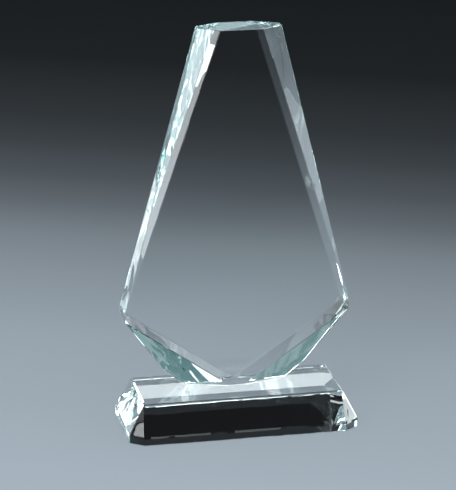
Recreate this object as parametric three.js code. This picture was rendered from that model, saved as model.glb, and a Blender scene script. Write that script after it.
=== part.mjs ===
// Crystal award: an upright bevelled crystal plaque bonded onto a bevelled crystal base block.
// Millimetres, +Z up. X runs along the base, the front faces -Y, and the origin is at the
// middle of the underside, where the block stands on a surface.

import * as THREE from 'three'
import { ConvexGeometry } from 'three/addons/geometries/ConvexGeometry.js'

// Base block: a flat top, a sloped facet down each side and a short upright skirt.
const baseHeight = 22
const topLength = 114 // flat top, along X
const topDepth = 41 // flat top, along Y
const endSlopeReach = 9 // how far each end facet runs out past the top
const sideSlopeReach = 7.5 // how far the front and back facets run out past the top
const skirtHeight = 4.8 // upright band at the foot of the block
const cornerCutLength = 8 // corner facet at the skirt, along X
const cornerCutDepth = 5.5 // corner facet at the skirt, along Y

// Adhesive film: clear, cured between the block's top and the plaque's foot.
const filmThickness = 0.2
const filmInset = 0.5 // film edge inside the plaque's foot

// Plaque: a plate standing on its narrow foot, widest at two side corners, with bevels round
// the front and the back. Heights are above the foot, so a thicker block lifts the whole
// plaque.
const plaqueHeight = 207.8
const plaqueThickness = 17
const backMargin = 4.6 // back of the plaque to the back edge of the flat top
const plaqueWidth = 129 // across the two side corners
const topRidgeWidth = 47 // across the side edges of the top face
const topFrontWidth = 24 // front edge of the top face
const topFrontBevel = 6.2 // front face back to the side edge, at the top face
const topBackBevel = 5.5 // back face forward to the side edge, at the top face
const cornerTopHeight = 46.8 // upper end of the short upright edge at a side corner
const cornerBottomHeight = 41.8 // its lower end
const kneeWidth = 83 // where each lower side facet turns in towards the foot
const kneeHeight = 10.3
const footRidgeWidth = 60 // across the side edges of the foot
const footFrontWidth = 9 // front edge of the foot; its back edge closes to a point
const footFrontBevel = 6.5 // front face back to the side edge, at the foot
const footBackBevel = 7 // back face forward to the side edge, at the foot

const crystalColor = '#dcebea'
const filmColor = '#f4f7f6'

const filmBottom = baseHeight
const plaqueFoot = filmBottom + filmThickness
const plaqueCentreY = topDepth / 2 - backMargin - plaqueThickness / 2

const crystalMaterial = () => new THREE.MeshStandardMaterial({
  color: crystalColor,
  roughness: 0.02,
  metalness: 0,
  transparent: true,
  opacity: 0.35,
})

const filmMaterial = () => new THREE.MeshStandardMaterial({
  color: filmColor,
  roughness: 0.1,
  metalness: 0,
  transparent: true,
  opacity: 0.35,
})

// The same point in all four quarters: left and right, front and back.
function inFourQuarters(x, y, z) {
  const quarters = []
  for (const sideX of [-1, 1]) {
    for (const sideY of [-1, 1]) {
      quarters.push(new THREE.Vector3(sideX * x, sideY * y, z))
    }
  }
  return quarters
}

// Each corner facet is a triangle with its tip at a corner of the flat top.
function baseBlock() {
  const halfLength = topLength / 2 + endSlopeReach
  const halfDepth = topDepth / 2 + sideSlopeReach
  const points = inFourQuarters(topLength / 2, topDepth / 2, baseHeight)
  for (const z of [0, skirtHeight]) {
    points.push(...inFourQuarters(halfLength, halfDepth - cornerCutDepth, z))
    points.push(...inFourQuarters(halfLength - cornerCutLength, halfDepth, z))
  }
  return new THREE.Mesh(new ConvexGeometry(points), crystalMaterial())
}

// Outlines are drawn on the plate's face, x across and y up, for its right half. A line is
// a pair of points.
function lineDirection(line) {
  return line[1].clone().sub(line[0]).normalize()
}

function distanceFromLine(point, line) {
  return Math.abs(lineDirection(line).cross(point.clone().sub(line[0])))
}

// The line moved sideways towards the middle of the plate's face.
function movedInward(line, distance) {
  const direction = lineDirection(line)
  const inward = new THREE.Vector2(-direction.y, direction.x)
  const middle = new THREE.Vector2(0, plaqueHeight / 2)
  if (inward.dot(middle.sub(line[0])) < 0) inward.negate()
  return line.map((point) => point.clone().addScaledVector(inward, distance))
}

function pointAtHeight(line, height) {
  const share = (height - line[0].y) / (line[1].y - line[0].y)
  return line[0].clone().lerp(line[1], share)
}

function meetingPoint(first, second) {
  const along = lineDirection(first)
  const across = lineDirection(second)
  const reach = second[0].clone().sub(first[0]).cross(across) / along.cross(across)
  return first[0].clone().addScaledVector(along, reach)
}

const topFront = new THREE.Vector2(topFrontWidth / 2, plaqueHeight)
const topRidge = new THREE.Vector2(topRidgeWidth / 2, plaqueHeight)
const cornerTop = new THREE.Vector2(plaqueWidth / 2, cornerTopHeight)
const cornerBottom = new THREE.Vector2(plaqueWidth / 2, cornerBottomHeight)
const knee = new THREE.Vector2(kneeWidth / 2, kneeHeight)
const footRidge = new THREE.Vector2(footRidgeWidth / 2, 0)
const footFront = new THREE.Vector2(footFrontWidth / 2, 0)
const footMiddle = new THREE.Vector2(0, 0)

// Where the upper and the lower bevel meet the front face. The back face's lines lie further
// in, by as much as makes the lower ones meet at the foot.
const frontUpperLine = [topFront, cornerTop]
const frontLowerLine = [cornerBottom, footFront]
const backInset = distanceFromLine(footMiddle, frontLowerLine)
const backUpperLine = movedInward(frontUpperLine, backInset)
const backLowerLine = movedInward(frontLowerLine, backInset)

// Each bevel is one flat cut, so its depth grows with the distance from its face's line.
function bevelledSide(side, upperLine, lowerLine, topBevel, footBevel, facePoints) {
  const halfThickness = plaqueThickness / 2
  const upperSlope = topBevel / distanceFromLine(topRidge, upperLine)
  const lowerSlope = footBevel / distanceFromLine(footRidge, lowerLine)
  const placed = facePoints.map((point) => [point, 0])
  for (const point of [topRidge, cornerTop]) {
    placed.push([point, upperSlope * distanceFromLine(point, upperLine)])
  }
  for (const point of [cornerBottom, knee, footRidge]) {
    placed.push([point, lowerSlope * distanceFromLine(point, lowerLine)])
  }
  const points = []
  for (const [point, depth] of placed) {
    const y = side * (halfThickness - depth)
    points.push(new THREE.Vector3(point.x, y, point.y), new THREE.Vector3(-point.x, y, point.y))
  }
  return points
}

function plaque() {
  const backFace = [
    pointAtHeight(backUpperLine, plaqueHeight),
    meetingPoint(backUpperLine, backLowerLine),
    footMiddle,
  ]
  const frontFace = [topFront, footFront]
  const points = [
    ...bevelledSide(-1, frontUpperLine, frontLowerLine, topFrontBevel, footFrontBevel, frontFace),
    ...bevelledSide(1, backUpperLine, backLowerLine, topBackBevel, footBackBevel, backFace),
  ]
  const mesh = new THREE.Mesh(new ConvexGeometry(points), crystalMaterial())
  mesh.position.set(0, plaqueCentreY, plaqueFoot)
  return mesh
}

// The film's outline is the plaque's foot, drawn in by the inset.
function adhesiveFilm() {
  const frontX = footFrontWidth / 2
  const ridgeX = footRidgeWidth / 2 - filmInset
  const faceY = plaqueThickness / 2 - filmInset
  const ridgeFrontY = -faceY + footFrontBevel
  const ridgeBackY = faceY - footBackBevel
  const outline = new THREE.Shape([
    new THREE.Vector2(ridgeX, ridgeFrontY),
    new THREE.Vector2(ridgeX, ridgeBackY),
    new THREE.Vector2(0, faceY),
    new THREE.Vector2(-ridgeX, ridgeBackY),
    new THREE.Vector2(-ridgeX, ridgeFrontY),
    new THREE.Vector2(-frontX, -faceY),
    new THREE.Vector2(frontX, -faceY),
  ])
  const geometry = new THREE.ExtrudeGeometry(outline, { depth: filmThickness, bevelEnabled: false })
  const mesh = new THREE.Mesh(geometry, filmMaterial())
  mesh.position.set(0, plaqueCentreY, filmBottom)
  return mesh
}

const award = new THREE.Group()
award.name = 'crystal_award'

function addPiece(name, mesh) {
  mesh.name = name
  award.add(mesh)
}

addPiece('base_block', baseBlock())
addPiece('adhesive_film', adhesiveFilm())
addPiece('plaque', plaque())

export default award
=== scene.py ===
import bpy
import bmesh
import math
from mathutils import Matrix, Vector


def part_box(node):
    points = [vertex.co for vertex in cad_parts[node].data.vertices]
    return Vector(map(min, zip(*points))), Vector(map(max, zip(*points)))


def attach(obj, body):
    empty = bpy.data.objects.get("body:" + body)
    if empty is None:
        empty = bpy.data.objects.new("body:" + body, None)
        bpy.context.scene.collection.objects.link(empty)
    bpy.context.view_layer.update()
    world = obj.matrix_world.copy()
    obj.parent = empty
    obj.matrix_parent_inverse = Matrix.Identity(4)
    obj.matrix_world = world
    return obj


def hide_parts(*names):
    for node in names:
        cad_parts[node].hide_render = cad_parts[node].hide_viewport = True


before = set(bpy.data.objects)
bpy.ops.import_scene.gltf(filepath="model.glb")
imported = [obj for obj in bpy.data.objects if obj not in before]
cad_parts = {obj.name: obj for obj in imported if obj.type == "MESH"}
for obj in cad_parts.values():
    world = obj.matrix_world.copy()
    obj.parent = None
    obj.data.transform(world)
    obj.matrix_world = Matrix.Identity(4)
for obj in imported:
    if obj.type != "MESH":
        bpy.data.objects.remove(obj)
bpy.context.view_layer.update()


def newMaterial(name):
    material = bpy.data.materials.new(name)
    material.use_nodes = True
    material.node_tree.nodes.clear()
    return material


# inputs are given by socket name, with _ for a space
def addNode(tree, kind, **inputs):
    node = tree.nodes.new(kind)
    for socket, value in inputs.items():
        node.inputs[socket.replace("_", " ")].default_value = value
    return node


def mathNode(tree, operation, first, second):
    node = tree.nodes.new("ShaderNodeMath")
    node.operation = operation
    for socket, value in zip(node.inputs, (first, second)):
        if isinstance(value, (int, float)):
            socket.default_value = value
        else:
            tree.links.new(value, socket)
    return node.outputs[0]


# a soft noise fixed to the piece
def noiseField(tree, scale, detail, stretch, distortion=0.0):
    where = addNode(tree, "ShaderNodeTexCoord")
    mapping = addNode(tree, "ShaderNodeMapping", Scale=stretch)
    noise = addNode(tree, "ShaderNodeTexNoise", Scale=scale, Detail=detail, Distortion=distortion)
    tree.links.new(where.outputs["Object"], mapping.inputs["Vector"])
    tree.links.new(mapping.outputs["Vector"], noise.inputs["Vector"])
    return noise.outputs["Fac"]


def faceMark(tree, name):
    mark = tree.nodes.new("ShaderNodeAttribute")
    mark.attribute_name = name
    return mark.outputs["Fac"]


crystalLook = {
    "ior": 1.517,
    "tint": (0.99, 0.998, 0.996, 1),
    "depthTint": (0.62, 0.86, 0.84, 1),
    "depthDensity": 3.0,
    "polish": 0.0,
    "swirlHeight": 0.0012,  # ripple that hand polishing leaves on the cut bevels
    "flatHeight": 0.00003,  # what is left of it on the lapped faces
    "swirlScale": 28.0,
    "swirlDetail": 1.5,
    "swirlTwist": 1.2,
    "swirlStretch": (1, 1, 0.45),
}


# One material for a whole crystal, so that its depth of tint is kept at the bonded faces,
# where light passes straight on.
def makeCrystal(name, look):
    material = newMaterial(name)
    tree = material.node_tree
    shader = addNode(tree, "ShaderNodeBsdfPrincipled", Base_Color=look["tint"], Metallic=0.0,
                     IOR=look["ior"], Roughness=look["polish"], Transmission_Weight=1.0)
    swirl = noiseField(tree, look["swirlScale"], look["swirlDetail"], look["swirlStretch"],
                       look["swirlTwist"])
    extraHeight = look["swirlHeight"] - look["flatHeight"]
    cutHeight = mathNode(tree, "MULTIPLY", faceMark(tree, "cutFace"), extraHeight)
    height = mathNode(tree, "MULTIPLY", swirl, mathNode(tree, "ADD", cutHeight, look["flatHeight"]))
    bump = addNode(tree, "ShaderNodeBump", Strength=1.0, Distance=1.0)
    clear = addNode(tree, "ShaderNodeBsdfTransparent", Color=(1, 1, 1, 1))
    mix = tree.nodes.new("ShaderNodeMixShader")
    depth = addNode(tree, "ShaderNodeVolumeAbsorption", Color=look["depthTint"],
                    Density=look["depthDensity"])
    out = addNode(tree, "ShaderNodeOutputMaterial")
    tree.links.new(height, bump.inputs["Height"])
    tree.links.new(bump.outputs["Normal"], shader.inputs["Normal"])
    tree.links.new(faceMark(tree, "bondedFace"), mix.inputs["Fac"])
    tree.links.new(shader.outputs["BSDF"], mix.inputs[1])
    tree.links.new(clear.outputs["BSDF"], mix.inputs[2])
    tree.links.new(mix.outputs["Shader"], out.inputs["Surface"])
    tree.links.new(depth.outputs["Volume"], out.inputs["Volume"])
    return material


filmLook = {
    "clearest": (1, 1, 1, 1),
    "cloudiest": (0.97, 0.985, 0.98, 1),
    "cloudScale": 220.0,
    "cloudDetail": 2.0,
}


# clear cured adhesive, with a trace of cloud in it
def makeFilm(name, look):
    material = newMaterial(name)
    tree = material.node_tree
    ramp = tree.nodes.new("ShaderNodeValToRGB")
    ramp.color_ramp.elements[0].color = look["clearest"]
    ramp.color_ramp.elements[1].color = look["cloudiest"]
    clear = tree.nodes.new("ShaderNodeBsdfTransparent")
    out = tree.nodes.new("ShaderNodeOutputMaterial")
    clouds = noiseField(tree, look["cloudScale"], look["cloudDetail"], (1, 1, 1))
    tree.links.new(clouds, ramp.inputs["Fac"])
    tree.links.new(ramp.outputs["Color"], clear.inputs["Color"])
    tree.links.new(clear.outputs["BSDF"], out.inputs["Surface"])
    return material


blankCheck = {
    "mergeDistance": 1e-6,
    "flatAngle": math.radians(0.5),  # triangles closer to flat than this are one facet
    "levelSlack": 1e-5,
    "levelNormal": 0.99,
    "lappedNormal": 0.995,
    "wallNormal": 0.1,
}


# A node of the frame as a clean solid, with one face for each facet.
def cleanBlank(node):
    shape = bmesh.new()
    shape.from_mesh(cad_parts[node].data)
    bmesh.ops.remove_doubles(shape, verts=shape.verts, dist=blankCheck["mergeDistance"])
    bmesh.ops.dissolve_limit(shape, angle_limit=blankCheck["flatAngle"], verts=shape.verts,
                             edges=shape.edges)
    return shape


def breakEdges(shape, width):
    bmesh.ops.bevel(shape, geom=shape.edges[:], offset=width, offset_type="OFFSET", affect="EDGES",
                    segments=1, profile=0.5, material=-1, clamp_overlap=True)


def isLevel(face, facing, level):
    offLevel = abs(face.calc_center_median().z - level)
    return face.normal.z * facing > blankCheck["levelNormal"] and offLevel < blankCheck["levelSlack"]


# The face is cut along the film's outline, and the part inside it is marked as bonded.
def markBond(shape, facing, level, walls):
    for spot, outward in walls:
        parts = set()
        for face in shape.faces:
            if isLevel(face, facing, level):
                parts.update([face], face.edges, face.verts)
        bmesh.ops.bisect_plane(shape, geom=list(parts), dist=1e-7, plane_co=spot, plane_no=outward)
    bonded = shape.faces.layers.float.new("bondedFace")
    for face in shape.faces:
        middle = face.calc_center_median()
        inside = all((middle - spot).dot(outward) < 0 for spot, outward in walls)
        if isLevel(face, facing, level) and inside:
            face[bonded] = 1.0


# Bevels and side facets are polished by hand; the large flat faces are lapped.
def markCutFaces(shape):
    cut = shape.faces.layers.float.new("cutFace")
    for face in shape.faces:
        lapped = max(abs(face.normal.y), abs(face.normal.z)) > blankCheck["lappedNormal"]
        face[cut] = 0.0 if lapped else 1.0


# a point on each upright side of the adhesive film, and the way that it faces
def filmWalls():
    film = cleanBlank("adhesive_film")
    walls = []
    for face in film.faces:
        if abs(face.normal.z) < blankCheck["wallNormal"]:
            walls.append((face.calc_center_median(), face.normal.copy()))
    film.free()
    return walls


def finishPiece(shape, name, node, material):
    mesh = bpy.data.meshes.new(name)
    shape.to_mesh(mesh)
    shape.free()
    piece = bpy.data.objects.new(name, mesh)
    bpy.context.scene.collection.objects.link(piece)
    mesh.materials.append(material)
    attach(piece, "root")
    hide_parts(node)
    return piece


bondWalls = filmWalls()

plaqueCut = {
    "edgeWidth": 0.0003,
}

plaqueShape = cleanBlank("plaque")
breakEdges(plaqueShape, plaqueCut["edgeWidth"])
markBond(plaqueShape, -1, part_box("plaque")[0].z, bondWalls)
markCutFaces(plaqueShape)
plaqueCrystal = makeCrystal("plaqueCrystal", crystalLook)
finishPiece(plaqueShape, "crystalPlaque", "plaque", plaqueCrystal)
print("plaque: cut and polished")

baseCut = {
    "edgeWidth": 0.0006,
}

baseShape = cleanBlank("base_block")
breakEdges(baseShape, baseCut["edgeWidth"])
markBond(baseShape, 1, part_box("base_block")[1].z, bondWalls)
markCutFaces(baseShape)
baseCrystal = makeCrystal("baseCrystal", crystalLook)
finishPiece(baseShape, "crystalBase", "base_block", baseCrystal)
print("base block: cut and polished")

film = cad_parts["adhesive_film"]
film.data.materials.clear()
film.data.materials.append(makeFilm("clearAdhesive", filmLook))
print("adhesive film: material set")

cameraPlace = {
    "azimuth": -12.68,
    "elevation": 19.65,
    "distance": 1.478,
    "aim": (-0.00597, 0, 0.1061),
    "roll": -0.8,
    "lens": 194.9,
    "sensor": 36,
    "farthest": 50,
}


# azimuth 0 is in front of the award and 90 is at its right end
def directionFrom(azimuth, elevation):
    turn, tilt = math.radians(azimuth), math.radians(elevation)
    return Vector((math.sin(turn) * math.cos(tilt), -math.cos(turn) * math.cos(tilt), math.sin(tilt)))


def addCamera(place):
    data = bpy.data.cameras.new("studioCamera")
    camera = bpy.data.objects.new("studioCamera", data)
    bpy.context.scene.collection.objects.link(camera)
    back = directionFrom(place["azimuth"], place["elevation"])
    spin = Matrix.Rotation(math.radians(place["roll"]), 3, -back)
    camera.rotation_mode = "QUATERNION"
    camera.rotation_quaternion = (spin @ (-back).to_track_quat("-Z", "Y").to_matrix()).to_quaternion()
    camera.location = Vector(place["aim"]) + back * place["distance"]
    data.sensor_width = place["sensor"]
    data.lens = place["lens"]
    data.clip_end = place["farthest"]
    bpy.context.scene.camera = camera


addCamera(cameraPlace)
print("camera: placed")

# The floor's colour is painted light: a painted falloff, pale round the award and falling off into
# the dark behind it. Most of its light is a painted glow of its own, in place of light from the
# lamps, so that it still shows under the block.
floorLook = {
    "reach": 6.0,
    "gap": 0.0001,  # so that light leaves the block's underside before it meets the floor
    "fade": (0.385, 0.938, 0),  # the way in which it falls off
    "near": -0.5,
    "far": 1.0,
    "tint": (0.86, 1.0, 1.13),
    "glow": 0.9,
    "glowShare": 0.83,  # the rest is matt paint, which the lamps light
    "roughness": 0.8,
    "paintedLightSteps": [  # distance along the fade, brightness
        (-0.5, 0.03), (-0.3, 0.06), (-0.16, 0.42), (-0.09, 0.42), (0.11, 0.34), (0.21, 0.27),
        (0.29, 0.21), (0.36, 0.13), (0.42, 0.085), (0.5, 0.05), (0.57, 0.034), (0.74, 0.016),
        (1.0, 0.012),
    ],
}


def makeFloor(look):
    shape = bmesh.new()
    bmesh.ops.create_grid(shape, x_segments=1, y_segments=1, size=look["reach"])
    mesh = bpy.data.meshes.new("studioFloor")
    shape.to_mesh(mesh)
    shape.free()
    floor = bpy.data.objects.new("studioFloor", mesh)
    floor.location.z = -look["gap"]
    bpy.context.scene.collection.objects.link(floor)
    material = newMaterial("paintedLightFloor")
    tree = material.node_tree
    where = tree.nodes.new("ShaderNodeTexCoord")
    along = tree.nodes.new("ShaderNodeVectorMath")
    along.operation = "DOT_PRODUCT"
    along.inputs[1].default_value = look["fade"]
    span = addNode(tree, "ShaderNodeMapRange", From_Min=look["near"], From_Max=look["far"])
    ramp = tree.nodes.new("ShaderNodeValToRGB")
    elements = ramp.color_ramp.elements
    for step in range(len(look["paintedLightSteps"]) - 2):
        elements.new((step + 1) / len(look["paintedLightSteps"]))
    for element, (place, value) in zip(elements, look["paintedLightSteps"]):
        element.position = (place - look["near"]) / (look["far"] - look["near"])
        element.color = [value * share for share in look["tint"]] + [1]
    # painted glow: the floor shines with its painted falloff, though it is no lamp
    paintedGlow = addNode(tree, "ShaderNodeEmission", Strength=look["glow"])
    paint = addNode(tree, "ShaderNodeBsdfDiffuse", Roughness=look["roughness"])
    surface = addNode(tree, "ShaderNodeMixShader", Fac=look["glowShare"])
    out = tree.nodes.new("ShaderNodeOutputMaterial")
    tree.links.new(where.outputs["Object"], along.inputs[0])
    tree.links.new(along.outputs["Value"], span.inputs["Value"])
    tree.links.new(span.outputs["Result"], ramp.inputs["Fac"])
    tree.links.new(ramp.outputs["Color"], paintedGlow.inputs["Color"])
    tree.links.new(ramp.outputs["Color"], paint.inputs["Color"])
    tree.links.new(paint.outputs["BSDF"], surface.inputs[1])
    tree.links.new(paintedGlow.outputs["Emission"], surface.inputs[2])
    tree.links.new(surface.outputs["Shader"], out.inputs["Surface"])
    mesh.materials.append(material)


makeFloor(floorLook)
print("floor: laid")

# name: azimuth from the camera, elevation, distance, width, height, brightness
softboxes = {
    "overhead": (0, 89, 1.7, 2.6, 2.6, 1.5),
    "overheadBack": (180, 62, 2.0, 1.6, 0.8, 1.8),
    "overheadFront": (0, 65, 2.0, 1.6, 0.8, 3.0),
    "highFront": (338, 44, 2.0, 2.0, 0.75, 1.7),
    "highRight": (102, 44, 2.0, 1.8, 0.75, 2.8),
    "highLeft": (250, 44, 2.0, 2.0, 0.75, 1.6),
    "middleRight": (98, 24, 2.0, 2.4, 0.7, 2.5),
    "middleLeft": (310, 24, 2.0, 2.4, 0.7, 1.1),
    "middleBackLeft": (210, 24, 2.0, 1.0, 0.7, 0.5),
    "lowFrontLeft": (330, 4.5, 2.0, 1.1, 0.68, 6.0),
    "lowFront": (8, 8, 2.0, 1.3, 0.46, 1.3),
    "lowRight": (108, 8, 2.0, 1.4, 0.46, 0.7),
    "lowLeft": (262, 8, 2.0, 2.2, 0.46, 0.9),
    "edgeFront": (15, -3, 1.3, 1.3, 0.15, 1.4),
    "edgeRight": (88, -3, 1.3, 2.0, 0.15, 1.6),
    "edgeLeft": (270, -3, 1.3, 1.6, 0.15, 0.7),
    "cardBackLeft": (221, -11, 0.42, 0.11, 0.09, 1.3),
    "cardBackRight": (162, -11, 0.42, 0.08, 0.08, 0.9),
}
softboxTint = (0.94, 1.0, 1.02)


def addSoftbox(name, place):
    azimuth, elevation, distance, width, height, brightness = place
    data = bpy.data.lights.new(name, "AREA")
    data.shape = "RECTANGLE"
    data.size, data.size_y = width, height
    data.energy = brightness * 4 * width * height  # so that brightness doesn't change with the size
    data.color = softboxTint
    lamp = bpy.data.objects.new(name, data)
    bpy.context.scene.collection.objects.link(lamp)
    away = directionFrom(azimuth + cameraPlace["azimuth"], elevation)
    lamp.location = away * distance + Vector((0, 0, cameraPlace["aim"][2]))
    lamp.rotation_mode = "QUATERNION"
    lamp.rotation_quaternion = away.to_track_quat("Z", "Y")
    lamp.visible_camera = False
    lamp.visible_diffuse = elevation > 0  # the low cards are only there for the glass to mirror


for name, place in softboxes.items():
    addSoftbox(name, place)

roomLook = {
    "horizon": (0.09, 0.20, 0.21, 1),
    "dark": (0.01, 0.01, 0.011, 1),
    "horizonTop": 0.14,
    "horizonBlend": 0.03,
}


# a dim band along the horizon, and a dark room above it
def makeRoom(look):
    world = bpy.data.worlds.new("studioRoom")
    world.use_nodes = True
    tree = world.node_tree
    where = tree.nodes.new("ShaderNodeTexCoord")
    split = tree.nodes.new("ShaderNodeSeparateXYZ")
    ramp = tree.nodes.new("ShaderNodeValToRGB")
    elements = ramp.color_ramp.elements
    elements[0].position, elements[0].color = look["horizonTop"], look["horizon"]
    elements[1].position, elements[1].color = look["horizonTop"] + look["horizonBlend"], look["dark"]
    tree.links.new(where.outputs["Generated"], split.inputs["Vector"])
    tree.links.new(split.outputs["Z"], ramp.inputs["Fac"])
    tree.links.new(ramp.outputs["Color"], tree.nodes["Background"].inputs["Color"])
    bpy.context.scene.world = world


makeRoom(roomLook)

# Light turns back many times inside a cut crystal before it leaves, so its path isn't cut short.
lightPaths = {
    "turns": 24,
}

paths = bpy.context.scene.cycles
paths.max_bounces = lightPaths["turns"]
paths.glossy_bounces = lightPaths["turns"]
paths.transmission_bounces = lightPaths["turns"]
bpy.context.scene.view_settings.view_transform = "Standard"
print("lights: set")
